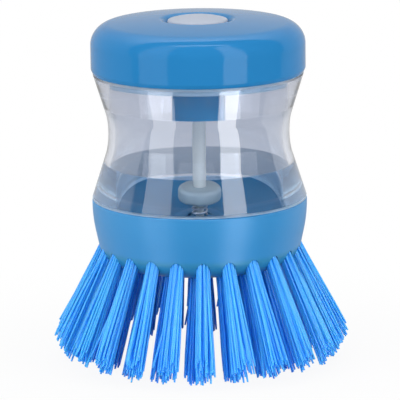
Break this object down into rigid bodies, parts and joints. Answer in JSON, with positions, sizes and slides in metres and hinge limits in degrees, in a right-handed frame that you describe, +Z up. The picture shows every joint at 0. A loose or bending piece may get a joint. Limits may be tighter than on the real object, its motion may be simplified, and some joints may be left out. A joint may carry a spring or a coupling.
{
  "type": "soap-dispensing dish brush",
  "caption": "Palm-held blue dish brush with a clear hourglass soap reservoir, a push-button screw cap and splayed bristles.",
  "frame": {"origin": "centre of the brush's axis on the surface that the bristle tips stand on", "axes": "+Z up along the brush's axis, from the bristle tips to the button; +X to the right in the picture's view"},
  "size_m": [0.0842, 0.0842, 0.0984],
  "materials": {
    "blue_cap": "gloss",
    "blue_base": "gloss",
    "clear_plastic": "clear",
    "pale_grey_plastic": "satin",
    "blue_bristle": "satin",
    "spring_steel": "bright",
    "seal_rubber": "matte",
    "anchor_brass": "bright"
  },
  "bodies": {
    "root": {"brush_base": "blue_base", "base_gasket": "seal_rubber", "clear_reservoir": "clear_plastic", "valve_seat": "blue_base", "valve_spring": "spring_steel", "tuft_anchors": "anchor_brass", "outer_tuft_01": "blue_bristle", "outer_tuft_02": "blue_bristle", "outer_tuft_03": "blue_bristle", "outer_tuft_04": "blue_bristle", "outer_tuft_05": "blue_bristle", "outer_tuft_06": "blue_bristle", "outer_tuft_07": "blue_bristle", "outer_tuft_08": "blue_bristle", "outer_tuft_09": "blue_bristle", "outer_tuft_10": "blue_bristle", "outer_tuft_11": "blue_bristle", "outer_tuft_12": "blue_bristle", "outer_tuft_13": "blue_bristle", "outer_tuft_14": "blue_bristle", "outer_tuft_15": "blue_bristle", "outer_tuft_16": "blue_bristle", "outer_tuft_17": "blue_bristle", "outer_tuft_18": "blue_bristle", "outer_tuft_19": "blue_bristle", "outer_tuft_20": "blue_bristle", "outer_tuft_21": "blue_bristle", "outer_tuft_22": "blue_bristle", "outer_tuft_23": "blue_bristle", "outer_tuft_24": "blue_bristle", "inner_tuft_01": "blue_bristle", "inner_tuft_02": "blue_bristle", "inner_tuft_03": "blue_bristle", "inner_tuft_04": "blue_bristle", "inner_tuft_05": "blue_bristle", "inner_tuft_06": "blue_bristle", "inner_tuft_07": "blue_bristle", "inner_tuft_08": "blue_bristle", "inner_tuft_09": "blue_bristle", "inner_tuft_10": "blue_bristle", "inner_tuft_11": "blue_bristle", "inner_tuft_12": "blue_bristle", "inner_tuft_13": "blue_bristle", "inner_tuft_14": "blue_bristle", "inner_tuft_15": "blue_bristle", "inner_tuft_16": "blue_bristle", "inner_tuft_17": "blue_bristle", "inner_tuft_18": "blue_bristle"},
    "cap_ring": {"cap_gasket": "seal_rubber"},
    "cap": {"screw_cap": "blue_cap", "button_spring": "spring_steel"},
    "button": {"push_button": "pale_grey_plastic"},
    "plunger": {"plunger_rod": "pale_grey_plastic", "spring_disc": "pale_grey_plastic", "valve_plug": "seal_rubber"}
  },
  "joints": [
    {"name": "cap_turn", "type": "hinge", "parent": "cap_ring", "child": "cap", "pos_m": [0, 0, 0.0921], "axis": [0, 0, 1], "range_deg": [0, 360]},
    {"name": "cap_rise", "type": "slide", "parent": "root", "child": "cap_ring", "axis": [0, 0, 1], "range_m": [0, 0.00501]},
    {"name": "button_press", "type": "slide", "parent": "cap", "child": "button", "axis": [0, 0, -1], "range_m": [0, 0.004], "stiffness_N_per_m": 300, "springref_m": -0.003, "deforming": ["button_spring"]},
    {"name": "plunger_press", "type": "slide", "parent": "root", "child": "plunger", "axis": [0, 0, -1], "range_m": [0, 0.004], "deforming": ["valve_spring"]}
  ],
  "couplings": [
    {"joint": "cap_rise", "follows": "cap_turn", "m_per_rad": 0.00079577},
    {"joint": "plunger_press", "follows": "button_press", "ratio": 1}
  ]
}
